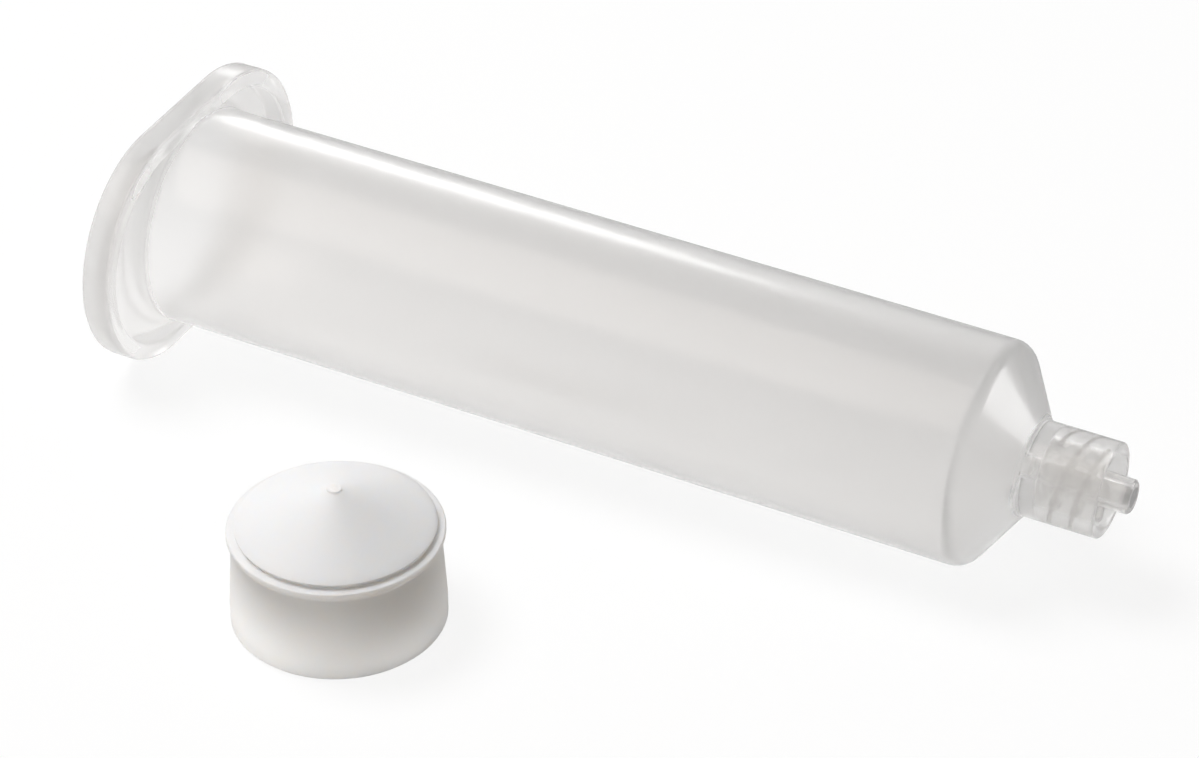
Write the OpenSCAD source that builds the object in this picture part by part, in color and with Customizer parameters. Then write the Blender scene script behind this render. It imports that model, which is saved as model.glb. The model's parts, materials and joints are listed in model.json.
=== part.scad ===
// Dispensing syringe for epoxy: a barrel lying on a table and its loose piston standing beside it.
// Millimetres, +Z up, +X along the barrel towards the nozzle. The origin is on the table, under the
// middle of the two pieces.

/* [Barrel tube] */
// Outside diameter of the tube
tube_d = 26; // [20:0.5:32]
// Thickness of the tube's wall
wall_t = 1; // [0.8:0.1:1.8]
// Distance from the open end to the shoulder where the cone starts
shoulder_len = 103.8; // [70:0.2:150]
// Radius that rounds the shoulder
shoulder_round = 2.2; // [1.2:0.1:2.6]
// How far the open end's lead-in reaches down the bore
mouth_lead = 1.2; // [0.6:0.1:2.4]
// How far the lead-in opens the bore at each side
mouth_flare = 0.5; // [0.2:0.05:0.8]

/* [Finger flange] */
// How far the flange's straight sides stand out from the tube
flange_overhang = 1.3; // [1.2:0.05:3]
// How far each finger wing stands out from the tube
wing_reach = 8.3; // [6:0.1:14]
// Thickness of the flange at its rim
flange_t = 3.7; // [3.4:0.1:4.5]
// Width of the raised rim
rim_w = 2.2; // [1.8:0.1:3]
// Depth of the pocket inside the rim, on the nozzle's side
pocket_depth = 2.6; // [1.4:0.1:2.6]
// Radius on the rim's edges
rim_edge_r = 0.6; // [0.2:0.05:0.8]
// Fillet between the pocket's floor and the tube
root_fillet = 3.2; // [2.8:0.1:3.6]

/* [Cone and Luer hub] */
// Slope of the cone outside, from a plane across the barrel
cone_slope = 33.5; // [27:0.5:45]
// Fillet between the cone and the collar
neck_fillet = 1; // [0.4:0.1:1.8]
// Outside diameter of the threaded collar
collar_d = 11; // [10:0.1:13]
// Length of the collar from the cone to its end
collar_len = 8.9; // [7.8:0.1:11]
// Bore of the collar, at the root of its thread
collar_bore_d = 8.2; // [7.6:0.1:9]
// Depth of the collar's bore
collar_depth = 7.4; // [6:0.1:7.6]
// Chamfer at the mouth of the collar's bore
collar_chamfer = 0.5; // [0.2:0.05:0.6]
// Diameter of the nozzle at its tip
nozzle_d = 3.95; // [3.6:0.05:4.2]
// How far the nozzle stands out of the collar
nozzle_proud = 2.6; // [2.1:0.1:4]
// Chamfer on the nozzle's tip
nozzle_chamfer = 0.25; // [0.1:0.05:0.4]
// Diameter of the outlet through the nozzle
outlet_d = 2.2; // [1.4:0.1:2.6]

/* [Piston] */
// Slope of the piston's nose, and of the cone inside the barrel that it empties
nose_slope = 23.5; // [18:0.5:26]
// Gap between the piston's lip and the bore, at each side
piston_clear = 0.05; // [0.02:0.01:0.15]
// Height of the wiping lip's upper edge above the foot
lip_top = 11.8; // [9:0.1:16]
// Height of the wiping lip
lip_h = 0.5; // [0.3:0.1:1.2]
// How far the waist is drawn in below the lip
waist_depth = 0.5; // [0.2:0.05:0.8]
// Height of the flare from the lip's underside down to the waist
waist_drop = 0.7; // [0.4:0.1:1.2]
// Height of the land at the foot of the skirt
foot_land = 2.2; // [1:0.1:3.5]
// Height of the groove above the lip
groove_h = 0.45; // [0.3:0.05:0.8]
// Depth of the groove above the lip
groove_depth = 1.2; // [1.05:0.05:1.3]
// How far the nose's rim stands in from the lip
nose_inset = 0.9; // [0.3:0.05:0.95]
// Height of the straight edge round the nose
nose_edge = 0.15; // [0.1:0.05:0.6]
// Thickness of the skirt's wall
skirt_t = 1.5; // [1.4:0.1:2.2]
// Thickness of the nose, measured upright
nose_t = 1.6; // [1.2:0.1:2.4]
// Chamfer on the edges of the foot
foot_chamfer = 0.3; // [0.1:0.05:0.4]
// Diameter of the moulding nub on the nose's point
nub_d = 1.7; // [1:0.1:2.4]
// Height of the moulding nub
nub_h = 0.25; // [0.1:0.05:0.6]

/* [Places on the table] */
// Clear space between the tube and the standing piston
piston_gap = 17.8; // [10:0.1:40]
// Place of the piston along the barrel, as a share of the distance to the shoulder
piston_along_share = 0.443; // [0.2:0.001:0.9]

/* [Hidden] */
$fn = 96;
barrel_colour = "gainsboro";
piston_colour = "white";
// How far a cut runs past the face that it opens
overrun = 1;
// The Luer taper: the nozzle's diameter grows by this share of its length
luer_taper_share = 0.06;
right_angle = 90;
half_turn = 180;

tube_r = tube_d / 2;
bore_r = tube_r - wall_t;
flange_half_w = tube_r + flange_overhang;
flange_half_len = tube_r + wing_reach;
// The flange is a racetrack: its round ends turn about centres this far from the barrel's axis
end_offset = flange_half_len - flange_half_w;
pocket_floor = flange_t - pocket_depth;

// The cone's straight flank runs from the shoulder's round to the collar
flank_r = tube_r - shoulder_round + shoulder_round * sin(cone_slope);
flank_z = shoulder_len + shoulder_round * cos(cone_slope);
collar_r = collar_d / 2;
neck_z = flank_z + (flank_r - collar_r) * tan(cone_slope);
collar_end = neck_z + collar_len;
collar_bore_r = collar_bore_d / 2;
collar_floor = collar_end - collar_depth;
nozzle_end = collar_end + nozzle_proud;
nozzle_r = nozzle_d / 2;
nozzle_root_r = nozzle_r + (nozzle_end - neck_z) * luer_taper_share / 2;
outlet_r = outlet_d / 2;
outlet_z = shoulder_len + (bore_r - outlet_r) * tan(nose_slope);

// Centre of the neck's fillet, and where it touches the flank
fillet_r = collar_r + neck_fillet;
fillet_z = flank_z + (neck_fillet - sin(cone_slope) * (fillet_r - flank_r)) / cos(cone_slope);
fillet_touch_r = fillet_r - neck_fillet * sin(cone_slope);
fillet_touch_z = fillet_z - neck_fillet * cos(cone_slope);

piston_r = bore_r - piston_clear;
lip_under = lip_top - lip_h;
waist_r = piston_r - waist_depth;
groove_r = piston_r - groove_depth;
nose_r = piston_r - nose_inset;
nose_foot = lip_top + groove_h;
nose_base = nose_foot + nose_edge;
nub_r = nub_d / 2;
nose_top = nose_base + (nose_r - nub_r) * tan(nose_slope);
nose_apex = nose_base + nose_r * tan(nose_slope);
hollow_r = waist_r - skirt_t;
hollow_apex = nose_apex - nose_t;
hollow_side = hollow_apex - hollow_r * tan(nose_slope);

// The barrel lies on the rim's lower edge and on the shoulder, so it dips a little towards the nozzle.
// Both edges are round, and the tilt sets the lowest points of the two rounds at one height.
rest_run = shoulder_len - flange_t + rim_edge_r;
rest_rise = flange_overhang - rim_edge_r + shoulder_round;
rest_trim = rim_edge_r - shoulder_round;
rest_tilt = atan2(rest_rise, rest_run) + asin(rest_trim / norm([rest_run, rest_rise]));
rest_height = shoulder_len * sin(rest_tilt) + (tube_r - shoulder_round) * cos(rest_tilt) + shoulder_round;

// Extent of the two pieces on the table, measured from the middle of the open end
back_x = rim_edge_r * cos(rest_tilt) - rim_edge_r - (flange_half_w - rim_edge_r) * sin(rest_tilt);
front_x = nozzle_end * cos(rest_tilt) + (nozzle_r - nozzle_chamfer) * sin(rest_tilt);
piston_x = shoulder_len * piston_along_share;
piston_y = -(tube_r + piston_gap + piston_r);
middle_x = (back_x + front_x) / 2;
middle_y = (piston_y - piston_r + flange_half_len) / 2;

// A bar's section with all four corners rounded
module rounded_bar(w, h, r) {
    translate([r, 0])
        square([w - 2 * r, h]);
    translate([0, r])
        square([w, h - 2 * r]);
    for (x = [r, w - r], y = [r, h - r])
        translate([x, y])
            circle(r);
}

// The flange's half section: a plate with a raised rim
module flange_section() {
    square([flange_half_w - rim_edge_r, pocket_floor]);
    translate([flange_half_w - rim_w, 0])
        rounded_bar(rim_w, flange_t, rim_edge_r);
}

// Carries a half section round the flange's racetrack outline
module racetrack() {
    for (side = [0, half_turn])
        rotate([0, 0, side])
            translate([0, end_offset, 0]) {
                rotate_extrude(angle = half_turn)
                    children();
                rotate([right_angle, 0, 0])
                    linear_extrude(height = 2 * end_offset)
                        children();
            }
}

// A concave fillet's section, between two lines that it touches
module fillet_section(corner, touch_a, centre, touch_b, r) {
    difference() {
        polygon([corner, touch_a, centre, touch_b]);
        translate(centre)
            circle(r);
    }
}

// The fillet at the tube's foot, kept inside the flange where its straight sides are narrow
module root_ring() {
    intersection() {
        rotate_extrude()
            fillet_section(
                [tube_r, pocket_floor],
                [tube_r + root_fillet, pocket_floor],
                [tube_r + root_fillet, pocket_floor + root_fillet],
                [tube_r, pocket_floor + root_fillet],
                root_fillet
            );
        racetrack()
            square([flange_half_w - rim_edge_r, flange_t + root_fillet]);
    }
}

// Tube, rounded shoulder, cone and collar, solid to the axis
module shell_section() {
    square([tube_r, shoulder_len]);
    translate([tube_r - shoulder_round, shoulder_len])
        circle(shoulder_round);
    polygon([
        [0, shoulder_len],
        [tube_r - shoulder_round, shoulder_len],
        [flank_r, flank_z],
        [collar_r, neck_z],
        [collar_r, collar_end],
        [0, collar_end]
    ]);
    fillet_section(
        [collar_r, neck_z],
        [fillet_touch_r, fillet_touch_z],
        [fillet_r, fillet_z],
        [collar_r, fillet_z],
        neck_fillet
    );
}

// The collar's bore with its chamfered mouth
module collar_bore_section() {
    polygon([
        [0, collar_floor],
        [collar_bore_r, collar_floor],
        [collar_bore_r, collar_end - collar_chamfer],
        [collar_bore_r + collar_chamfer, collar_end],
        [collar_bore_r + collar_chamfer, collar_end + overrun],
        [0, collar_end + overrun]
    ]);
}

// The tapered nozzle, from inside the neck to its chamfered tip
module nozzle_section() {
    polygon([
        [0, neck_z],
        [nozzle_root_r, neck_z],
        [nozzle_r, nozzle_end - nozzle_chamfer],
        [nozzle_r - nozzle_chamfer, nozzle_end],
        [0, nozzle_end]
    ]);
}

// The space inside: lead-in, bore, cone and outlet
module bore_section() {
    polygon([
        [0, -overrun],
        [bore_r + mouth_flare, -overrun],
        [bore_r + mouth_flare, 0],
        [bore_r, mouth_lead],
        [bore_r, shoulder_len],
        [outlet_r, outlet_z],
        [outlet_r, nozzle_end + overrun],
        [0, nozzle_end + overrun]
    ]);
}

// The barrel on its open end, nozzle up
module barrel_upright() {
    difference() {
        union() {
            racetrack()
                flange_section();
            root_ring();
            rotate_extrude() {
                difference() {
                    shell_section();
                    collar_bore_section();
                }
                nozzle_section();
            }
        }
        rotate_extrude()
            bore_section();
    }
}

// The barrel, lying on the table
module barrel() {
    color(barrel_colour)
        translate([-middle_x, -middle_y, rest_height])
            rotate([0, right_angle + rest_tilt, 0])
                barrel_upright();
}

// The piston's half section: skirt, waist, wiping lip, groove and conical nose over a hollow
module piston_section() {
    polygon([
        [hollow_r + foot_chamfer, 0],
        [piston_r - foot_chamfer, 0],
        [piston_r, foot_chamfer],
        [piston_r, foot_land],
        [waist_r, lip_under - waist_drop],
        [piston_r, lip_under],
        [piston_r, lip_top],
        [groove_r, lip_top],
        [groove_r, nose_foot],
        [nose_r, nose_foot],
        [nose_r, nose_base],
        [nub_r, nose_top],
        [nub_r, nose_top + nub_h],
        [0, nose_top + nub_h],
        [0, hollow_apex],
        [hollow_r, hollow_side],
        [hollow_r, foot_chamfer]
    ]);
}

// The piston, standing on the table beside the barrel
module piston() {
    color(piston_colour)
        translate([piston_x - middle_x, piston_y - middle_y, 0])
            rotate_extrude()
                piston_section();
}

barrel();
piston();
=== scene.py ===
"""Looks of a dispensing syringe for epoxy: a milky barrel lying on a table and its loose white piston.

Laid out as an add-on and run as a script. Lengths are in metres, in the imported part's own frame.
"""

import json
import math

import bmesh
import bpy
from mathutils import Matrix, Quaternion, Vector


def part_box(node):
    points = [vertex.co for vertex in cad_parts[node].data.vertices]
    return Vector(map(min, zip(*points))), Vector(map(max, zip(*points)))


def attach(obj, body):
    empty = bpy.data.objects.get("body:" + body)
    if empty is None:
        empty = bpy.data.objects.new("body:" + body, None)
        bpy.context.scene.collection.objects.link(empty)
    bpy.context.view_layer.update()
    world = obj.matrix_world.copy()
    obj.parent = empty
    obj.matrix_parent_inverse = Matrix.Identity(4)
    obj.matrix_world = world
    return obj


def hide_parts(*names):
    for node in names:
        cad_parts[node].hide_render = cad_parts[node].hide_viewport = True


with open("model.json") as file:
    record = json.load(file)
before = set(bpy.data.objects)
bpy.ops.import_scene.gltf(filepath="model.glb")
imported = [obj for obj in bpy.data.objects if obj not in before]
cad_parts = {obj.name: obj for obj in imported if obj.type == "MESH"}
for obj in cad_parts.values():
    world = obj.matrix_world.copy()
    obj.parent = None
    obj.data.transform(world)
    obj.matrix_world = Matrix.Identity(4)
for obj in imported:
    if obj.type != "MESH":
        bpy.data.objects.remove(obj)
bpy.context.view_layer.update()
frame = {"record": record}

bl_info = {
    "name": "Dispensing Syringe",
    "version": (1, 0, 0),
    "blender": (4, 5, 0),
    "location": "View3D > Sidebar > Syringe",
    "description": "Builds a syringe's barrel, Luer thread and piston on a packed part, with a plain stage",
    "category": "Object",
}

MM = 0.001
MOUNTS = {mount["name"]: mount for mount in frame["record"]["mounts"]}
BORE = MOUNTS["piston_bore"]
TUBE = MOUNTS["tube_outside"]

# The photograph's frame, in pixels, and the lens that fits it
PHOTO_WIDTH = 1199
PHOTO_FOCAL = 4402
SENSOR_WIDTH_MM = 36

# The photograph's view: a point on the table, measured from the open end, and the camera's place from there
AIM_OFFSET = (51.56 * MM, 9.16 * MM)
CAMERA_OFFSET = Vector((191.1, -375.3, 302.9)) * MM
CLIP_START = 10 * MM

# How finely the meshes are cut
BARREL_SIDES = 288
PISTON_SIDES = 256
EDGE_STEPS = 7
ROOT_STEPS = 12
FLAT_STEPS = 4
TUBE_LOOPS = 8
RIB_POINTS = 72
ARC_STEP = math.radians(12)
SHARP_ANGLE = math.radians(38)
STRAIGHT_ANGLE = 1e-4
QUARTER_TURN = math.pi / 2
WELD_DISTANCE = 1e-7

# A Luer nozzle's radius grows by this share of its length
LUER_TAPER = 0.03

# Starts the pocket's fillet just past the rim's wall, so that the two don't share a point
PAST_RIM = 1.00001

# Real sizes of the plastics' patterns
FLOW_CLOUD = 14 * MM
FLOW_STRETCH = (0.35, 1, 1)
SKIN_RIPPLE = 1.6 * MM
SKIN_DEPTH = 0.05 * MM
PISTON_MOTTLE = 5 * MM
PISTON_GRAIN = 0.5 * MM
GRAIN_DEPTH = 0.03 * MM
SCATTER_REACH = 3 * MM

# How fast the tube's plastic turns into that of its thick ends, and where shade is painted into the
# outlet's mouth
END_FADE = 0.5 * MM
OUTLET_EDGE = 0.05 * MM
OUTLET_RIM = 0.15 * MM
OUTLET_DEEP = 1.4 * MM
OUTLET_SHALLOW = 0.5 * MM

# The table, and the strip of it over which it dims as the barrel's plastic sees it
TABLE_HALF = 3.0
DIM_ALONG = (0.22, 1, 0)
DIM_START = 8 * MM
DIM_END = 64 * MM

# The lamps: where they hang, how large they are and how they are tinted
KEY_SPOT = Vector((-0.46, 0, 0.88))
KEY_SIZE = (0.5, 0.5)
KEY_TINT = "FDFDFF"
BROAD_SPOT = Vector((-0.37, -0.26, 0.9))
BROAD_SIZE = (1.0, 1.0)
BROAD_TINT = "FFF6EE"
STRIP_OFFSET = Vector((-0.28, 0.53, 0.21))
STRIP_SIZE = (0.26, 0.14)
STRIP_ROLL = math.radians(-42)
SIDE_OFFSET = Vector((0.66, 0.4, 0.14))
SIDE_SIZE = (0.45, 0.28)
CARD_RISE = Vector((0, 0, 1.5)) * MM
CARD_SIZE = (45 * MM, 3 * MM)
LEFT_CARD_OFFSET = Vector((-5.24, -19.72, 0)) * MM
RIGHT_CARD_OFFSET = Vector((15.1, -6.4, 0)) * MM


def length(name, description, millimetres):
    """A length that the sidebar shows and edits, given here in millimetres."""
    return bpy.props.FloatProperty(
        name=name,
        description=description,
        default=millimetres * MM,
        min=0,
        precision=5,
        subtype="DISTANCE",
        unit="LENGTH",
    )


def slope(name, description, degrees):
    """An angle that the sidebar shows and edits, given here in degrees."""
    return bpy.props.FloatProperty(
        name=name,
        description=description,
        default=math.radians(degrees),
        subtype="ANGLE",
        unit="ROTATION",
    )


def power(name, description, watts):
    """A lamp's power that the sidebar shows and edits, in watts."""
    return bpy.props.FloatProperty(
        name=name,
        description=description,
        default=watts,
        min=0,
        precision=5,
        subtype="POWER",
        unit="POWER",
    )


def share(name, description, default):
    """A number from 0 to 1 that the sidebar shows and edits."""
    return bpy.props.FloatProperty(
        name=name,
        description=description,
        default=default,
        min=0,
        max=1,
        subtype="FACTOR",
    )


def linear(hex_code):
    """An sRGB hex colour as linear red, green and blue."""
    values = []
    for start in (0, 2, 4):
        channel = int(hex_code[start : start + 2], 16) / 255
        if channel <= 0.04045:
            values.append(channel / 12.92)
        else:
            values.append(((channel + 0.055) / 1.055) ** 2.4)
    return tuple(values)


def tint(name, description, hex_code):
    """A colour that the sidebar shows and edits, given here as sRGB hex."""
    return bpy.props.FloatVectorProperty(
        name=name,
        description=description,
        default=linear(hex_code),
        size=3,
        min=0,
        max=1,
        subtype="COLOR",
    )


class BarrelSizes(bpy.types.PropertyGroup):
    """Sizes of the barrel, measured from its open end."""

    tube_r: length("Tube radius", "Outside radius of the tube", TUBE["dims"]["r_mm"])
    bore_r: length("Bore radius", "Radius of the bore that the piston wipes", BORE["dims"]["r_mm"])
    mouth_lead: length("Mouth lead-in", "How far the lead-in reaches down the bore", 1.2)
    mouth_flare: length("Mouth flare", "How far the lead-in opens the bore at each side", 0.5)
    shoulder: length("Shoulder", "Distance from the open end to the shoulder", 103.8)
    shoulder_round: length("Shoulder round", "Radius that rounds the shoulder", 2.2)
    overhang: length("Flange overhang", "How far the flange's straight sides stand out", 1.3)
    wing_reach: length("Wing reach", "How far each finger wing stands out", 8.3)
    flange_t: length("Flange thickness", "Thickness of the flange at its rim", 3.7)
    rim_w: length("Rim width", "Width of the raised rim", 2.2)
    pocket_depth: length("Pocket depth", "Depth of the pocket inside the rim", 2.6)
    rim_edge_r: length("Rim edge", "Radius on the rim's edges", 0.6)
    pocket_fillet: length("Pocket fillet", "Fillet round the pocket's floor", 0.3)
    root_fillet: length("Root fillet", "Fillet between the pocket's floor and the tube", 3.2)
    cone_slope: slope("Cone slope", "Slope of the cone outside, from a plane across the barrel", 33.5)
    inner_slope: slope("Inner slope", "Slope of the cone inside, from a plane across the barrel", 23.5)
    neck_fillet: length("Neck fillet", "Fillet between the cone and the collar", 1.0)
    collar_r: length("Collar radius", "Outside radius of the threaded collar", 5.5)
    collar_len: length("Collar length", "Length of the collar from the cone", 8.9)
    collar_bore_r: length("Collar bore", "Radius of the collar's bore at the thread's root", 4.1)
    collar_depth: length("Collar depth", "Depth of the collar's bore", 7.4)
    collar_chamfer: length("Collar chamfer", "Chamfer at the mouth of the collar's bore", 0.5)
    nozzle_r: length("Nozzle radius", "Radius of the nozzle at its tip", 1.975)
    nozzle_proud: length("Nozzle reach", "How far the nozzle stands out of the collar", 2.6)
    nozzle_chamfer: length("Nozzle chamfer", "Chamfer on the nozzle's tip", 0.25)
    outlet_r: length("Outlet radius", "Radius of the outlet through the nozzle", 1.1)
    edge_r: length("Edge round", "Small radius that moulding leaves on an edge", 0.12)


class ThreadSizes(bpy.types.PropertyGroup):
    """Sizes of the thread inside the Luer collar."""

    rib_height: length("Rib height", "How far a thread rib stands in from the bore", 0.45)
    rib_base: length("Rib base", "Width of a rib where it joins the bore", 1.1)
    rib_crest: length("Rib crest", "Width of a rib at its crest", 0.45)
    rib_seat: length("Rib seat", "How far a rib's base is let into the wall", 0.05)
    lead: length("Lead", "How far a cap moves in one turn", 5.0)
    foot_gap: length("Foot gap", "Plain bore between the collar's floor and the thread", 1.2)
    mouth_gap: length("Mouth gap", "Plain bore between the thread and the collar's mouth", 1.0)
    starts: bpy.props.IntProperty(
        name="Starts",
        description="How many ribs run side by side",
        default=2,
        min=1,
    )


class PistonSizes(bpy.types.PropertyGroup):
    """Sizes of the piston, measured from its foot."""

    clear: length("Clearance", "Gap between the lip and the bore", 0.05)
    lip_top: length("Lip top", "Height of the wiping lip's upper edge", 11.8)
    lip_h: length("Lip height", "Height of the wiping lip", 0.5)
    waist_depth: length("Waist depth", "How far the waist is drawn in below the lip", 0.5)
    waist_drop: length("Waist drop", "Height of the flare from the lip down to the waist", 0.7)
    foot_land: length("Foot land", "Height of the land at the foot", 2.2)
    groove_h: length("Groove height", "Height of the groove above the lip", 0.45)
    groove_depth: length("Groove depth", "Depth of the groove above the lip", 1.2)
    nose_inset: length("Nose inset", "How far the nose's rim stands in from the lip", 0.9)
    nose_edge: length("Nose edge", "Height of the straight edge round the nose", 0.15)
    skirt_t: length("Skirt thickness", "Thickness of the skirt's wall", 1.5)
    nose_t: length("Nose thickness", "Thickness of the nose, measured upright", 1.6)
    foot_chamfer: length("Foot chamfer", "Chamfer on the edges of the foot", 0.3)
    nub_r: length("Nub radius", "Radius of the moulding nub on the point", 0.85)
    nub_h: length("Nub height", "Height of the moulding nub", 0.25)
    nub_dimple: length("Nub dimple", "Depth of the dimple where the runner broke off", 0.12)
    edge_r: length("Edge round", "Small radius that moulding leaves on an edge", 0.08)


class StageSettings(bpy.types.PropertyGroup):
    """Colours of the two plastics, and the light round them."""

    barrel_tint: tint("Barrel", "Colour of the milky polypropylene", "FEFDFC")
    milk: share("Milkiness", "How much of the light is scattered on its way through the tube", 0.08)
    flange_milk: share("Flange milkiness", "How much more the thick flange scatters", 0.3)
    collar_milk: share("Collar milkiness", "How much more the thick collar scatters", 0.1)
    # Darkens the flange's milky colour: partly the thick plastic's own loss of light, partly painted shade
    flange_shade: share("Flange depth", "How much of the scattered light is lost in the flange", 0.18)
    end_polish: share("End polish", "How much smoother the flange and the collar are than the tube", 0.08)
    # Painted shade: how far the plastic's colour is darkened in the outlet's mouth
    outlet_shade: share("Outlet depth", "How much of the light is lost in the outlet's mouth", 0.8)
    piston_tint: tint("Piston", "Colour of the white polyethylene", "F3F2F1")
    floor_tint: tint("Floor", "Colour of the table", "F7F7F6")
    bounce_tint: tint("Bounce", "Colour of the light that the table throws back", "A1998E")
    fill_tint: tint("Fill colour", "Colour of the room's even light", "F3ECE2")
    fill: share("Fill", "Level of the room's even light", 0.23)
    floor_lift: share("Floor lift", "How far the seen floor is lifted to white", 0.88)
    floor_far: share("Far floor", "Level of the table behind, as the barrel's plastic sees it", 0.51)
    key_watts: power("Key lamp", "The soft lamp above and to the left", 9.3)
    broad_watts: power("Broad lamp", "The lamp that draws the warm band along the barrel", 6.0)
    side_watts: power("Side lamp", "The low lamp to the right, which lights up the cone", 2.4)
    left_card_watts: power("Left card", "Light of a low white card on the piston's left", 0.0015)
    right_card_watts: power("Right card", "Light of a low white card on the piston's right", 0.00054)
    strip_watts: power("Strip lamp", "The low lamp behind, which draws the long highlight", 0.45)


class SyringeSettings(bpy.types.PropertyGroup):
    """Everything that the sidebar edits."""

    barrel: bpy.props.PointerProperty(type=BarrelSizes)
    thread: bpy.props.PointerProperty(type=ThreadSizes)
    piston: bpy.props.PointerProperty(type=PistonSizes)
    stage: bpy.props.PointerProperty(type=StageSettings)


def barrel_place(barrel):
    """The matrix that lays the upright barrel on the table: its Z runs to the nozzle, its Y stays level."""
    to_nozzle = -Vector(BORE["axis"]).normalized()
    level = Vector((0, 1, 0))
    down = level.cross(to_nozzle)
    open_end = Vector(BORE["pos_m"]) - to_nozzle * barrel.mouth_lead
    return Matrix(
        (
            (down.x, level.x, to_nozzle.x, open_end.x),
            (down.y, level.y, to_nozzle.y, open_end.y),
            (down.z, level.z, to_nozzle.z, open_end.z),
            (0, 0, 0, 1),
        )
    )


def piston_place():
    """The matrix that stands the piston where its node stands."""
    low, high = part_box("piston")
    return Matrix.Translation(((low.x + high.x) / 2, (low.y + high.y) / 2, low.z))


def cone_flank(barrel):
    """Radius and height at which the shoulder's round runs out into the cone."""
    radius = barrel.tube_r - barrel.shoulder_round * (1 - math.sin(barrel.cone_slope))
    height = barrel.shoulder + barrel.shoulder_round * math.cos(barrel.cone_slope)
    return radius, height


def collar_heights(barrel):
    """Heights of the neck, the collar's floor, the collar's end and the nozzle's end."""
    flank_r, flank_z = cone_flank(barrel)
    neck = flank_z + (flank_r - barrel.collar_r) * math.tan(barrel.cone_slope)
    end = neck + barrel.collar_len
    return neck, end - barrel.collar_depth, end, end + barrel.nozzle_proud


def rounded(corners):
    """A path through corners given as radius, height and round, with each round drawn as an arc."""
    path = [Vector(corners[0][:2])]
    for before, corner, after in zip(corners, corners[1:], corners[2:]):
        point = Vector(corner[:2])
        back = (Vector(before[:2]) - point).normalized()
        ahead = (Vector(after[:2]) - point).normalized()
        half = back.angle(ahead) / 2
        turn = math.pi - 2 * half
        if corner[2] == 0 or turn < STRAIGHT_ANGLE:
            path.append(point)
            continue
        reach = corner[2] / math.tan(half)
        centre = point + (back + ahead).normalized() * corner[2] / math.sin(half)
        start = point + back * reach - centre
        side = math.copysign(1, start.cross(point + ahead * reach - centre))
        steps = max(2, math.ceil(turn / ARC_STEP))
        for step in range(steps + 1):
            angle = side * turn * step / steps
            spun = Matrix.Rotation(angle, 2) @ start
            path.append(centre + spun)
    path.append(Vector(corners[-1][:2]))
    return [(point.x, point.y) for point in path]


def racetrack_reach(half_width, offset, angle):
    """Distance from the axis to a racetrack outline whose round ends lie along Y."""
    across = abs(math.cos(angle))
    along = abs(math.sin(angle))
    if half_width * along <= offset * across:
        return half_width / across
    return offset * along + math.sqrt(half_width**2 - (offset * across) ** 2)


def racetrack_inset(half_width, offset, radius, angle):
    """How far inside a racetrack outline a point at this radius and angle lies."""
    beyond = max(radius * abs(math.sin(angle)) - offset, 0)
    return half_width - math.hypot(radius * abs(math.cos(angle)), beyond)


def rim_height(barrel, inset):
    """Height of the rim and the pocket's floor at a distance inside the flange's outline."""
    floor = barrel.flange_t - barrel.pocket_depth
    edge = barrel.rim_edge_r
    top = barrel.flange_t - edge
    inner = barrel.rim_w - edge
    if inset <= edge:
        return top + math.sqrt(max(edge**2 - (edge - inset) ** 2, 0))
    if inset <= inner:
        return barrel.flange_t
    if inset <= barrel.rim_w:
        return top + math.sqrt(max(edge**2 - (inset - inner) ** 2, 0))
    foot = barrel.rim_w + barrel.pocket_fillet
    if inset <= foot:
        drop = math.sqrt(max(barrel.pocket_fillet**2 - (foot - inset) ** 2, 0))
        return floor + barrel.pocket_fillet - drop
    return floor


def root_height(barrel, radius):
    """Height of the fillet that joins the pocket's floor to the tube, at a radius."""
    floor = barrel.flange_t - barrel.pocket_depth
    gap = barrel.tube_r + barrel.root_fillet - radius
    if gap <= 0:
        return floor
    return floor + barrel.root_fillet - math.sqrt(max(barrel.root_fillet**2 - gap**2, 0))


def quarter_arc(radius, steps=EDGE_STEPS):
    """Pairs that run from 0 and a radius to the radius and 0, round a quarter circle."""
    angles = [QUARTER_TURN * step / steps for step in range(steps + 1)]
    return [(radius * math.sin(angle), radius * math.cos(angle)) for angle in angles]


def flange_ring(barrel, angle):
    """The flange's section at one angle, from the edge of its back face to the foot of the tube."""
    half_width = barrel.tube_r + barrel.overhang
    offset = barrel.wing_reach - barrel.overhang
    edge = barrel.rim_edge_r
    rim_flat = barrel.rim_w - 2 * edge
    pocket_start = barrel.rim_w * PAST_RIM + barrel.pocket_fillet
    ring = []
    for rise, drop in quarter_arc(edge):
        ring.append((racetrack_reach(half_width - edge + rise, offset, angle), edge - drop))
    insets = [edge - drop for _, drop in quarter_arc(edge)]
    insets += [edge + rim_flat * step / FLAT_STEPS for step in range(1, FLAT_STEPS)]
    insets += [barrel.rim_w - edge + rise for rise, _ in quarter_arc(edge)]
    insets += [pocket_start - drop for _, drop in quarter_arc(barrel.pocket_fillet)]
    for inset in insets:
        radius = racetrack_reach(half_width - inset, offset, angle)
        if radius < barrel.tube_r:
            radius = barrel.tube_r
            inset = racetrack_inset(half_width, offset, radius, angle)
        ring.append((radius, max(rim_height(barrel, inset), root_height(barrel, radius))))
    pocket_edge = ring[-1][0]
    foot = barrel.tube_r + barrel.root_fillet
    radii = [foot + (pocket_edge - foot) * step / FLAT_STEPS for step in range(FLAT_STEPS - 1, 0, -1)]
    radii += [foot - rise for rise, _ in quarter_arc(barrel.root_fillet, ROOT_STEPS)]
    for radius in radii:
        radius = max(min(radius, pocket_edge), barrel.tube_r)
        inset = racetrack_inset(half_width, offset, radius, angle)
        ring.append((radius, max(rim_height(barrel, inset), root_height(barrel, radius))))
    return ring


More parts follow.
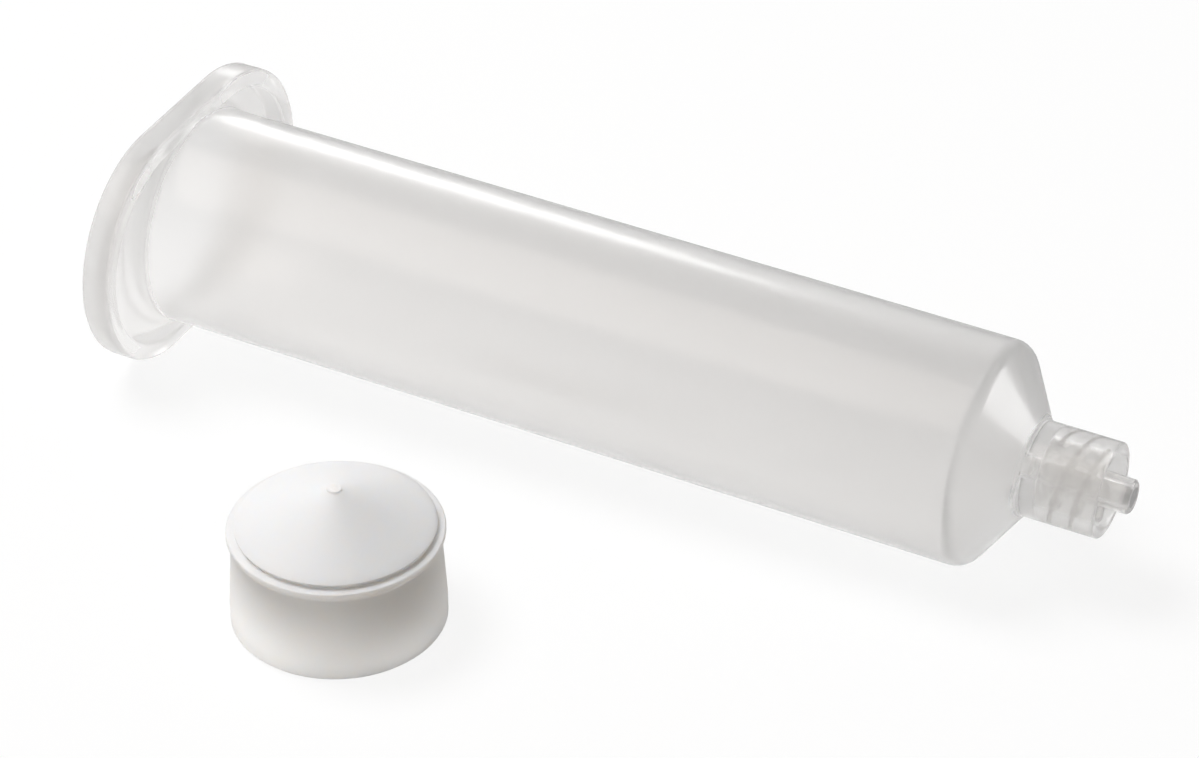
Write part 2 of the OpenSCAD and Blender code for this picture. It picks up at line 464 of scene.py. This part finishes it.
def barrel_path(barrel):
    """The barrel's section from the foot of the tube over the nozzle and down the bore to the open end."""
    neck, collar_floor, collar_end, nozzle_end = collar_heights(barrel)
    edge = barrel.edge_r
    flank_r, flank_z = cone_flank(barrel)
    shoulder_point = flank_z - (barrel.tube_r - flank_r) * math.tan(barrel.cone_slope)
    nozzle_root_r = barrel.nozzle_r + (nozzle_end - collar_floor) * LUER_TAPER
    outlet_z = barrel.shoulder + (barrel.bore_r - barrel.outlet_r) * math.tan(barrel.inner_slope)
    tube_foot = barrel.flange_t - barrel.pocket_depth + barrel.root_fillet
    tube_len = barrel.shoulder - tube_foot
    corners = []
    for loop in range(1, TUBE_LOOPS):
        corners.append((barrel.tube_r, tube_foot + tube_len * loop / TUBE_LOOPS, 0))
    corners += [
        (barrel.tube_r, shoulder_point, barrel.shoulder_round),
        (barrel.collar_r, neck, barrel.neck_fillet),
        (barrel.collar_r, collar_end, 2 * edge),
        (barrel.collar_bore_r + barrel.collar_chamfer, collar_end, edge),
        (barrel.collar_bore_r, collar_end - barrel.collar_chamfer, edge),
        (barrel.collar_bore_r, collar_floor, 2 * edge),
        (nozzle_root_r, collar_floor, 3 * edge),
        (barrel.nozzle_r, nozzle_end - barrel.nozzle_chamfer, edge),
        (barrel.nozzle_r - barrel.nozzle_chamfer, nozzle_end, edge),
        (barrel.outlet_r, nozzle_end, edge),
        (barrel.outlet_r, outlet_z, 4 * edge),
        (barrel.bore_r, barrel.shoulder, 6 * edge),
        (barrel.bore_r, barrel.mouth_lead, 2 * edge),
        (barrel.bore_r + barrel.mouth_flare, 0, edge),
        (barrel.tube_r + barrel.overhang, 0, 0),
    ]
    return rounded(corners)[:-1]


def piston_path(piston, barrel):
    """The piston's section from its point down the outside and back up the hollow."""
    lip_r = barrel.bore_r - piston.clear
    waist_r = lip_r - piston.waist_depth
    groove_r = lip_r - piston.groove_depth
    nose_r = lip_r - piston.nose_inset
    hollow_r = waist_r - piston.skirt_t
    lip_under = piston.lip_top - piston.lip_h
    nose_foot = piston.lip_top + piston.groove_h
    nose_base = nose_foot + piston.nose_edge
    nose_slope = math.tan(barrel.inner_slope)
    nose_top = nose_base + (nose_r - piston.nub_r) * nose_slope
    hollow_apex = nose_base + nose_r * nose_slope - piston.nose_t
    edge = piston.edge_r
    corners = [
        (0, nose_top + piston.nub_h - piston.nub_dimple, 0),
        (piston.nub_r / 3, nose_top + piston.nub_h - piston.nub_dimple, edge),
        (piston.nub_r * 2 / 3, nose_top + piston.nub_h, edge),
        (piston.nub_r, nose_top + piston.nub_h, edge),
        (piston.nub_r, nose_top, edge),
        (nose_r, nose_base, edge / 2),
        (nose_r, nose_foot, edge / 2),
        (groove_r, nose_foot, edge),
        (groove_r, piston.lip_top, edge),
        (lip_r, piston.lip_top, 2 * edge),
        (lip_r, lip_under, edge),
        (waist_r, lip_under - piston.waist_drop, 6 * edge),
        (lip_r, piston.foot_land, 12 * edge),
        (lip_r, piston.foot_chamfer, edge),
        (lip_r - piston.foot_chamfer, 0, edge),
        (hollow_r + piston.foot_chamfer, 0, edge),
        (hollow_r, piston.foot_chamfer, edge),
        (hollow_r, hollow_apex - hollow_r * nose_slope, 10 * edge),
        (0, hollow_apex, 0),
    ]
    return rounded(corners)


def lathe(name, rings, closed):
    """A mesh through sections set round the Z axis, its doubled points welded and its faces outward."""
    count = len(rings[0])
    sides = len(rings)
    verts = []
    for side, ring in enumerate(rings):
        angle = 2 * math.pi * side / sides
        for radius, height in ring:
            verts.append((radius * math.cos(angle), radius * math.sin(angle), height))
    faces = []
    for side in range(sides):
        beside = (side + 1) % sides
        for step in range(count if closed else count - 1):
            after = (step + 1) % count
            faces.append(
                (
                    side * count + step,
                    beside * count + step,
                    beside * count + after,
                    side * count + after,
                )
            )
    mesh = bpy.data.meshes.new(name)
    mesh.from_pydata(verts, [], faces)
    shell = bmesh.new()
    shell.from_mesh(mesh)
    bmesh.ops.remove_doubles(shell, verts=shell.verts, dist=WELD_DISTANCE)
    bmesh.ops.dissolve_degenerate(shell, edges=shell.edges, dist=WELD_DISTANCE)
    bmesh.ops.recalc_face_normals(shell, faces=shell.faces)
    shell.to_mesh(mesh)
    shell.free()
    mesh.shade_smooth()
    mesh.set_sharp_from_angle(angle=SHARP_ANGLE)
    return mesh


def piece(name, mesh, place, material, body, node=None):
    """A finished piece at the origin, its place in its mesh, riding on a body of the part."""
    mesh.transform(place)
    mesh.materials.clear()
    mesh.materials.append(material)
    made = bpy.data.objects.new(name, mesh)
    bpy.context.scene.collection.objects.link(made)
    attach(made, body)
    if node:
        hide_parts(node)
    return made


def add_node(tree, kind, settings=None, values=None, links=None):
    """Adds a node, sets its options and its sockets' values, and links sources to its sockets."""
    node = tree.nodes.new(kind)
    for option, value in (settings or {}).items():
        setattr(node, option, value)
    for socket, value in (values or {}).items():
        node.inputs[socket].default_value = value
    for socket, source in (links or {}).items():
        tree.links.new(source, node.inputs[socket])
    return node


def blank_material(name):
    """A new material with nothing but its output, and that output."""
    material = bpy.data.materials.new(name)
    material.use_nodes = True
    material.node_tree.nodes.clear()
    return material, add_node(material.node_tree, "ShaderNodeOutputMaterial")


def thick_ends(tree, coords, barrel):
    """Two values that are 1 on the barrel's flange and on its collar, and 0 on the tube."""
    spot = add_node(tree, "ShaderNodeSeparateXYZ", links={"Vector": coords.outputs["Object"]})
    open_end = barrel_place(barrel).translation.x
    flange_end = open_end + barrel.flange_t
    neck = open_end + collar_heights(barrel)[0]
    flange = add_node(
        tree,
        "ShaderNodeMapRange",
        values={
            "From Min": flange_end - END_FADE,
            "From Max": flange_end + END_FADE,
            "To Min": 1,
            "To Max": 0,
        },
        links={"Value": spot.outputs["X"]},
    )
    collar = add_node(
        tree,
        "ShaderNodeMapRange",
        values={"From Min": neck - END_FADE, "From Max": neck + END_FADE},
        links={"Value": spot.outputs["X"]},
    )
    return flange.outputs["Result"], collar.outputs["Result"]


def painted_outlet_shade(tree, coords, stage, barrel):
    """A value that drops from 1 in the nozzle's outlet mouth: painted shade where little light gets in."""
    place = barrel_place(barrel)
    axis = place.to_3x3().col[2]
    tip = place.translation + axis * collar_heights(barrel)[3]
    from_tip = add_node(
        tree,
        "ShaderNodeVectorMath",
        {"operation": "SUBTRACT"},
        values={1: tip},
        links={0: coords.outputs["Object"]},
    )
    along = add_node(
        tree,
        "ShaderNodeVectorMath",
        {"operation": "DOT_PRODUCT"},
        values={1: axis},
        links={0: from_tip.outputs["Vector"]},
    )
    across = add_node(
        tree,
        "ShaderNodeVectorMath",
        {"operation": "CROSS_PRODUCT"},
        values={1: axis},
        links={0: from_tip.outputs["Vector"]},
    )
    away = add_node(
        tree,
        "ShaderNodeVectorMath",
        {"operation": "LENGTH"},
        links={0: across.outputs["Vector"]},
    )
    near_axis = add_node(
        tree,
        "ShaderNodeMapRange",
        values={
            "From Min": barrel.outlet_r + OUTLET_EDGE,
            "From Max": barrel.outlet_r + OUTLET_RIM,
            "To Min": 1 - stage.outlet_shade,
            "To Max": 1,
        },
        links={"Value": away.outputs["Value"]},
    )
    near_tip = add_node(
        tree,
        "ShaderNodeMapRange",
        values={"From Min": -OUTLET_DEEP, "From Max": -OUTLET_SHALLOW, "To Min": 1},
        links={"Value": along.outputs["Value"], "To Max": near_axis.outputs["Result"]},
    )
    return near_tip.outputs["Result"]


def moulded_polypropylene(stage, barrel):
    """Natural polypropylene, injection moulded: milky all through, with a polished skin.

    Light soaks through the wall and comes out soft, while the skin still draws lamps as clean streaks.
    Faint clouds run along the barrel, where the melt flowed. The flange and the collar are thicker, so they
    are milkier. The index is matched low, because the scatter in the wall evens out how it bends light.
    """
    material, output = blank_material("moulded_polypropylene")
    tree = material.node_tree
    coords = add_node(tree, "ShaderNodeTexCoord")
    flow = add_node(
        tree,
        "ShaderNodeMapping",
        values={"Scale": FLOW_STRETCH},
        links={"Vector": coords.outputs["Object"]},
    )
    clouds = add_node(
        tree,
        "ShaderNodeTexNoise",
        values={"Scale": 1 / FLOW_CLOUD, "Detail": 3, "Roughness": 0.5},
        links={"Vector": flow.outputs["Vector"]},
    )
    roughness = add_node(
        tree,
        "ShaderNodeMapRange",
        values={"From Min": 0.3, "From Max": 0.7, "To Min": 0.278, "To Max": 0.32},
        links={"Value": clouds.outputs["Fac"]},
    )
    flange, collar = thick_ends(tree, coords, barrel)
    ends = add_node(tree, "ShaderNodeMath", {"operation": "MAXIMUM"}, links={0: flange, 1: collar})
    polish = add_node(
        tree,
        "ShaderNodeMath",
        {"operation": "MULTIPLY_ADD"},
        values={1: -stage.end_polish},
        links={0: ends.outputs["Value"], 2: roughness.outputs["Result"]},
    )
    collar_milk = add_node(
        tree,
        "ShaderNodeMath",
        {"operation": "MULTIPLY_ADD"},
        values={1: stage.collar_milk, 2: stage.milk},
        links={0: collar},
    )
    milk = add_node(
        tree,
        "ShaderNodeMath",
        {"operation": "MULTIPLY_ADD"},
        values={1: stage.flange_milk},
        links={0: flange, 2: collar_milk.outputs["Value"]},
    )
    # Darkens the milky colour in the flange: partly the thick plastic's own loss of light, partly painted
    # shade
    flange_painted_shade = add_node(
        tree,
        "ShaderNodeMath",
        {"operation": "MULTIPLY_ADD"},
        values={1: -stage.flange_shade, 2: 1},
        links={0: flange},
    )
    cloud_colour = add_node(
        tree,
        "ShaderNodeVectorMath",
        {"operation": "SCALE"},
        values={0: stage.barrel_tint},
        links={"Scale": flange_painted_shade.outputs["Value"]},
    )
    # The clear plastic's colour, with painted shade darkening it in the outlet's mouth
    clear_colour = add_node(
        tree,
        "ShaderNodeVectorMath",
        {"operation": "SCALE"},
        values={0: stage.barrel_tint},
        links={"Scale": painted_outlet_shade(tree, coords, stage, barrel)},
    )
    skin = add_node(
        tree,
        "ShaderNodeTexNoise",
        values={"Scale": 1 / SKIN_RIPPLE, "Detail": 2},
        links={"Vector": coords.outputs["Object"]},
    )
    bump = add_node(
        tree,
        "ShaderNodeBump",
        values={"Strength": 0.05, "Distance": SKIN_DEPTH},
        links={"Height": skin.outputs["Fac"]},
    )
    clear = add_node(
        tree,
        "ShaderNodeBsdfPrincipled",
        values={
            "IOR": 1.33,
            "Transmission Weight": 0.99,
            "Coat Weight": 0.35,
            "Coat Roughness": 0.15,
            "Coat IOR": 1.49,
        },
        links={
            "Base Color": clear_colour.outputs["Vector"],
            "Roughness": polish.outputs["Value"],
            "Normal": bump.outputs["Normal"],
        },
    )
    cloudy = add_node(tree, "ShaderNodeBsdfTranslucent", links={"Color": cloud_colour.outputs["Vector"]})
    milky = add_node(
        tree,
        "ShaderNodeMixShader",
        links={0: milk.outputs["Value"], 1: clear.outputs["BSDF"], 2: cloudy.outputs["BSDF"]},
    )
    tree.links.new(milky.outputs["Shader"], output.inputs["Surface"])
    return material


def moulded_polyethylene(stage):
    """White polyethylene, injection moulded: waxy and satin, and soft in its shadows and its groove."""
    material, output = blank_material("moulded_polyethylene")
    tree = material.node_tree
    coords = add_node(tree, "ShaderNodeTexCoord")
    mottle = add_node(
        tree,
        "ShaderNodeTexNoise",
        values={"Scale": 1 / PISTON_MOTTLE, "Detail": 3},
        links={"Vector": coords.outputs["Object"]},
    )
    roughness = add_node(
        tree,
        "ShaderNodeMapRange",
        values={"From Min": 0.3, "From Max": 0.7, "To Min": 0.4, "To Max": 0.5},
        links={"Value": mottle.outputs["Fac"]},
    )
    grain = add_node(
        tree,
        "ShaderNodeTexNoise",
        values={"Scale": 1 / PISTON_GRAIN, "Detail": 2},
        links={"Vector": coords.outputs["Object"]},
    )
    bump = add_node(
        tree,
        "ShaderNodeBump",
        values={"Strength": 0.08, "Distance": GRAIN_DEPTH},
        links={"Height": grain.outputs["Fac"]},
    )
    shader = add_node(
        tree,
        "ShaderNodeBsdfPrincipled",
        values={
            "Base Color": (*stage.piston_tint, 1),
            "IOR": 1.51,
            "Subsurface Weight": 0.85,
            "Subsurface Radius": (1, 0.9, 0.8),
            "Subsurface Scale": SCATTER_REACH,
        },
        links={"Roughness": roughness.outputs["Result"], "Normal": bump.outputs["Normal"]},
    )
    tree.links.new(shader.outputs["BSDF"], output.inputs["Surface"])
    return material


def seen_by(tree, *rays):
    """A value that is 1 for rays of the given kinds and 0 for all other light."""
    path = add_node(tree, "ShaderNodeLightPath")
    value = path.outputs[rays[0]]
    for ray in rays[1:]:
        either = add_node(
            tree,
            "ShaderNodeMath",
            {"operation": "MAXIMUM"},
            links={0: value, 1: path.outputs[ray]},
        )
        value = either.outputs["Value"]
    return value


def painted_table(stage):
    """A matt white table top, lifted towards white where it is seen, so that its shadow stays light.

    Plastic sees it as white in front and dimmer behind, which greys the barrel's upper side, and what it
    throws back on the pieces has a colour of its own.
    """
    material, output = blank_material("painted_table")
    tree = material.node_tree
    camera = seen_by(tree, "Is Camera Ray")
    seen = add_node(
        tree,
        "ShaderNodeMath",
        {"operation": "MULTIPLY"},
        values={1: stage.floor_lift},
        links={0: camera},
    )
    lift = add_node(
        tree,
        "ShaderNodeMath",
        {"operation": "MAXIMUM"},
        links={0: seen.outputs["Value"], 1: seen_by(tree, "Is Glossy Ray", "Is Transmission Ray")},
    )
    coords = add_node(tree, "ShaderNodeTexCoord")
    behind = add_node(
        tree,
        "ShaderNodeVectorMath",
        {"operation": "DOT_PRODUCT"},
        values={1: DIM_ALONG},
        links={0: coords.outputs["Object"]},
    )
    dimmed = add_node(
        tree,
        "ShaderNodeMapRange",
        values={"From Min": DIM_START, "From Max": DIM_END, "To Min": 1, "To Max": stage.floor_far},
        links={"Value": behind.outputs["Value"]},
    )
    level = add_node(
        tree,
        "ShaderNodeMath",
        {"operation": "MAXIMUM"},
        links={0: dimmed.outputs["Result"], 1: camera},
    )
    top = add_node(tree, "ShaderNodeBsdfDiffuse", values={"Color": (*stage.floor_tint, 1)})
    bounce = add_node(tree, "ShaderNodeBsdfDiffuse", values={"Color": (*stage.bounce_tint, 1)})
    paint = add_node(
        tree,
        "ShaderNodeMixShader",
        links={0: camera, 1: bounce.outputs["BSDF"], 2: top.outputs["BSDF"]},
    )
    glow = add_node(
        tree,
        "ShaderNodeEmission",
        values={"Color": (1, 1, 1, 1)},
        links={"Strength": level.outputs["Value"]},
    )
    mixed = add_node(
        tree,
        "ShaderNodeMixShader",
        links={0: lift.outputs["Value"], 1: paint.outputs["Shader"], 2: glow.outputs["Emission"]},
    )
    tree.links.new(mixed.outputs["Shader"], output.inputs["Surface"])
    return material


def room_light(stage):
    """An even room that shows as white behind the table, and in plastic too."""
    world = bpy.data.worlds.new("room")
    world.use_nodes = True
    tree = world.node_tree
    tree.nodes.clear()
    fill = add_node(
        tree,
        "ShaderNodeBackground",
        values={"Color": (*stage.fill_tint, 1), "Strength": stage.fill},
    )
    white = add_node(tree, "ShaderNodeBackground", values={"Color": (1, 1, 1, 1), "Strength": 1})
    mixed = add_node(
        tree,
        "ShaderNodeMixShader",
        links={
            0: seen_by(tree, "Is Camera Ray", "Is Glossy Ray", "Is Transmission Ray"),
            1: fill.outputs["Background"],
            2: white.outputs["Background"],
        },
    )
    add_node(tree, "ShaderNodeOutputWorld", links={"Surface": mixed.outputs["Shader"]})
    return world


def thread_tree():
    """A node tree that winds trapezium ribs up the inside of a bore, side by side."""
    tree = bpy.data.node_groups.new("wound_ribs", "GeometryNodeTree")
    lengths = ("Wind Radius", "Rib Height", "Rib Base", "Rib Crest", "Lead", "Length")
    for name in lengths:
        socket = tree.interface.new_socket(name, in_out="INPUT", socket_type="NodeSocketFloat")
        socket.subtype = "DISTANCE"
    tree.interface.new_socket("Starts", in_out="INPUT", socket_type="NodeSocketInt")
    tree.interface.new_socket("Material", in_out="INPUT", socket_type="NodeSocketMaterial")
    tree.interface.new_socket("Geometry", in_out="OUTPUT", socket_type="NodeSocketGeometry")
    sizes = add_node(tree, "NodeGroupInput").outputs
    turns = add_node(
        tree,
        "ShaderNodeMath",
        {"operation": "DIVIDE"},
        links={0: sizes["Length"], 1: sizes["Lead"]},
    )
    helix = add_node(
        tree,
        "GeometryNodeCurveSpiral",
        values={"Resolution": RIB_POINTS, "Reverse": False},
        links={
            "Rotations": turns.outputs["Value"],
            "Start Radius": sizes["Wind Radius"],
            "End Radius": sizes["Wind Radius"],
            "Height": sizes["Length"],
        },
    )
    upright = add_node(
        tree,
        "GeometryNodeSetCurveNormal",
        {"mode": "Z_UP"},
        links={"Curve": helix.outputs["Curve"]},
    )
    section = add_node(
        tree,
        "GeometryNodeCurvePrimitiveQuadrilateral",
        {"mode": "TRAPEZOID"},
        values={"Offset": 0},
        links={
            "Height": sizes["Rib Height"],
            "Bottom Width": sizes["Rib Base"],
            "Top Width": sizes["Rib Crest"],
        },
    )
    inward = add_node(
        tree,
        "GeometryNodeTransform",
        values={"Rotation": (0, 0, QUARTER_TURN)},
        links={"Geometry": section.outputs["Curve"]},
    )
    rib = add_node(
        tree,
        "GeometryNodeCurveToMesh",
        values={"Fill Caps": True},
        links={"Curve": upright.outputs["Curve"], "Profile Curve": inward.outputs["Geometry"]},
    )
    points = add_node(tree, "GeometryNodePoints", links={"Count": sizes["Starts"]})
    index = add_node(tree, "GeometryNodeInputIndex")
    spacing = add_node(
        tree,
        "ShaderNodeMath",
        {"operation": "DIVIDE"},
        values={0: 2 * math.pi},
        links={1: sizes["Starts"]},
    )
    spin = add_node(
        tree,
        "ShaderNodeMath",
        {"operation": "MULTIPLY"},
        links={0: index.outputs["Index"], 1: spacing.outputs["Value"]},
    )
    about_axis = add_node(tree, "ShaderNodeCombineXYZ", links={"Z": spin.outputs["Value"]})
    beside = add_node(
        tree,
        "GeometryNodeInstanceOnPoints",
        links={
            "Points": points.outputs["Points"],
            "Instance": rib.outputs["Mesh"],
            "Rotation": about_axis.outputs["Vector"],
        },
    )
    real = add_node(tree, "GeometryNodeRealizeInstances", links={"Geometry": beside.outputs["Instances"]})
    finished = add_node(
        tree,
        "GeometryNodeSetMaterial",
        links={"Geometry": real.outputs["Geometry"], "Material": sizes["Material"]},
    )
    add_node(tree, "NodeGroupOutput", links={"Geometry": finished.outputs["Geometry"]})
    return tree


def grown_mesh(name, tree, inputs):
    """The plain mesh that a node tree makes from its named inputs."""
    carrier = bpy.data.objects.new(name, bpy.data.meshes.new(name))
    bpy.context.scene.collection.objects.link(carrier)
    modifier = carrier.modifiers.new(name, "NODES")
    modifier.node_group = tree
    for socket in tree.interface.items_tree:
        if socket.in_out == "INPUT":
            modifier[socket.identifier] = inputs[socket.name]
    bpy.context.view_layer.update()
    evaluated = carrier.evaluated_get(bpy.context.evaluated_depsgraph_get())
    mesh = bpy.data.meshes.new_from_object(evaluated)
    carrier.modifiers.clear()
    bpy.data.objects.remove(carrier)
    return mesh


def area_lamp(name, shape, spot, aim, size, watts, roll=0):
    """A flat lamp at a spot, turned to an aim point and rolled about that line."""
    data = bpy.data.lights.new(name, "AREA")
    data.shape = shape
    data.size, data.size_y = size
    data.energy = watts
    lamp = bpy.data.objects.new(name, data)
    lamp.location = spot
    facing = (aim - spot).to_track_quat("-Z", "Y") @ Quaternion((0, 0, 1), roll)
    lamp.rotation_euler = facing.to_euler()
    bpy.context.scene.collection.objects.link(lamp)
    return lamp


def hide_from(lamp, *rays):
    """Keeps rays of the given kinds from meeting a lamp."""
    for ray in rays:
        setattr(lamp, f"visible_{ray}", False)


def lay_table(stage):
    """The table top, which belongs to the stage and not to the part."""
    half = TABLE_HALF
    mesh = bpy.data.meshes.new("table")
    mesh.from_pydata(
        [(-half, -half, 0), (half, -half, 0), (half, half, 0), (-half, half, 0)],
        [],
        [(0, 1, 2, 3)],
    )
    mesh.materials.append(painted_table(stage))
    table = bpy.data.objects.new("table", mesh)
    bpy.context.scene.collection.objects.link(table)


def hang_lamps(stage, middle):
    """Four lamps round the middle of the barrel, and two low cards that light the piston alone."""
    key = area_lamp("key_lamp", "ELLIPSE", KEY_SPOT, middle, KEY_SIZE, stage.key_watts)
    key.data.color = linear(KEY_TINT)
    hide_from(key, "glossy", "transmission")
    broad = area_lamp("broad_lamp", "ELLIPSE", BROAD_SPOT, middle, BROAD_SIZE, stage.broad_watts)
    broad.data.color = linear(BROAD_TINT)
    hide_from(broad, "diffuse", "transmission")
    spot = middle + STRIP_OFFSET
    across = Vector((spot.x, middle.y, middle.z))
    strip = area_lamp("strip_lamp", "ELLIPSE", spot, across, STRIP_SIZE, stage.strip_watts, STRIP_ROLL)
    hide_from(strip, "diffuse")
    side = area_lamp("side_lamp", "ELLIPSE", middle + SIDE_OFFSET, middle, SIDE_SIZE, stage.side_watts)
    hide_from(side, "diffuse", "transmission")
    card_aim = piston_place().translation + CARD_RISE
    cards = (
        ("left_card", LEFT_CARD_OFFSET, stage.left_card_watts),
        ("right_card", RIGHT_CARD_OFFSET, stage.right_card_watts),
    )
    lit = bpy.data.collections.new("lit_by_cards")
    lit.objects.link(bpy.data.objects["piston_moulding"])
    for name, offset, watts in cards:
        card = area_lamp(name, "RECTANGLE", card_aim + offset, card_aim, CARD_SIZE, watts)
        card.light_linking.receiver_collection = lit
        hide_from(card, "camera", "glossy")


def set_camera(open_end):
    """The camera at the photograph's view."""
    aim = Vector((open_end.x + AIM_OFFSET[0], open_end.y + AIM_OFFSET[1], 0))
    data = bpy.data.cameras.new("camera")
    data.sensor_width = SENSOR_WIDTH_MM
    data.lens = PHOTO_FOCAL / PHOTO_WIDTH * SENSOR_WIDTH_MM
    data.clip_start = CLIP_START
    camera = bpy.data.objects.new("camera", data)
    camera.location = aim + CAMERA_OFFSET
    camera.rotation_euler = (aim - camera.location).to_track_quat("-Z", "Y").to_euler()
    bpy.context.scene.collection.objects.link(camera)
    bpy.context.scene.camera = camera


class SYRINGE_OT_make_barrel(bpy.types.Operator):
    """Build the barrel: flange, tube, cone, collar and nozzle in one moulding."""

    bl_idname = "syringe.make_barrel"
    bl_label = "Make Barrel"

    def execute(self, context):
        settings = context.scene.syringe
        path = barrel_path(settings.barrel)
        rings = []
        for side in range(BARREL_SIDES):
            angle = 2 * math.pi * side / BARREL_SIDES
            rings.append(flange_ring(settings.barrel, angle) + path)
        piece(
            "barrel_moulding",
            lathe("barrel_moulding", rings, closed=True),
            barrel_place(settings.barrel),
            moulded_polypropylene(settings.stage, settings.barrel),
            body="barrel",
            node="barrel",
        )
        return {"FINISHED"}


class SYRINGE_OT_make_thread(bpy.types.Operator):
    """Wind the Luer thread inside the collar."""

    bl_idname = "syringe.make_thread"
    bl_label = "Make Luer Thread"

    def execute(self, context):
        settings = context.scene.syringe
        barrel = settings.barrel
        thread = settings.thread
        material = bpy.data.materials["moulded_polypropylene"]
        collar_floor, collar_end = collar_heights(barrel)[1:3]
        rib_height = thread.rib_height + thread.rib_seat
        mesh = grown_mesh(
            "luer_thread",
            thread_tree(),
            {
                "Wind Radius": barrel.collar_bore_r + thread.rib_seat - rib_height / 2,
                "Rib Height": rib_height,
                "Rib Base": thread.rib_base,
                "Rib Crest": thread.rib_crest,
                "Lead": thread.lead,
                "Length": collar_end - collar_floor - thread.foot_gap - thread.mouth_gap,
                "Starts": thread.starts,
                "Material": material,
            },
        )
        mesh.transform(Matrix.Translation((0, 0, collar_floor + thread.foot_gap)))
        mesh.shade_smooth()
        mesh.set_sharp_from_angle(angle=SHARP_ANGLE)
        piece(
            "luer_thread",
            mesh,
            barrel_place(barrel),
            material,
            body="barrel",
        )
        return {"FINISHED"}


class SYRINGE_OT_make_piston(bpy.types.Operator):
    """Build the piston: skirt, wiping lip, groove and conical nose."""

    bl_idname = "syringe.make_piston"
    bl_label = "Make Piston"

    def execute(self, context):
        settings = context.scene.syringe
        path = piston_path(settings.piston, settings.barrel)
        piece(
            "piston_moulding",
            lathe("piston_moulding", [path] * PISTON_SIDES, closed=False),
            piston_place(),
            moulded_polyethylene(settings.stage),
            body="piston",
            node="piston",
        )
        return {"FINISHED"}


class SYRINGE_OT_set_stage(bpy.types.Operator):
    """Lay the table, hang the lamps and set the camera at the photograph's view."""

    bl_idname = "syringe.set_stage"
    bl_label = "Set Stage"

    def execute(self, context):
        scene = context.scene
        stage = scene.syringe.stage
        open_end = barrel_place(scene.syringe.barrel).translation
        scene.view_settings.view_transform = "Standard"
        scene.world = room_light(stage)
        lay_table(stage)
        hang_lamps(stage, Vector((0, open_end.y, open_end.z)))
        set_camera(open_end)
        return {"FINISHED"}


class SYRINGE_PT_sidebar(bpy.types.Panel):
    """Sizes, colours and steps of the syringe."""

    bl_label = "Dispensing Syringe"
    bl_idname = "SYRINGE_PT_sidebar"
    bl_space_type = "VIEW_3D"
    bl_region_type = "UI"
    bl_category = "Syringe"

    def draw(self, context):
        settings = context.scene.syringe
        groups = (
            ("Barrel", settings.barrel, "syringe.make_barrel"),
            ("Luer thread", settings.thread, "syringe.make_thread"),
            ("Piston", settings.piston, "syringe.make_piston"),
            ("Stage", settings.stage, "syringe.set_stage"),
        )
        for title, group, step in groups:
            box = self.layout.box()
            box.label(text=title)
            for name in group.__annotations__:
                box.prop(group, name)
            box.operator(step)


CLASSES = (
    BarrelSizes,
    ThreadSizes,
    PistonSizes,
    StageSettings,
    SyringeSettings,
    SYRINGE_OT_make_barrel,
    SYRINGE_OT_make_thread,
    SYRINGE_OT_make_piston,
    SYRINGE_OT_set_stage,
    SYRINGE_PT_sidebar,
)


def register():
    for cls in CLASSES:
        bpy.utils.register_class(cls)
    bpy.types.Scene.syringe = bpy.props.PointerProperty(type=SyringeSettings)


def unregister():
    del bpy.types.Scene.syringe
    for cls in reversed(CLASSES):
        bpy.utils.unregister_class(cls)


def main():
    register()
    bpy.ops.syringe.make_barrel()
    bpy.ops.syringe.make_thread()
    bpy.ops.syringe.make_piston()
    bpy.ops.syringe.set_stage()


if __name__ == "__main__":
    main()
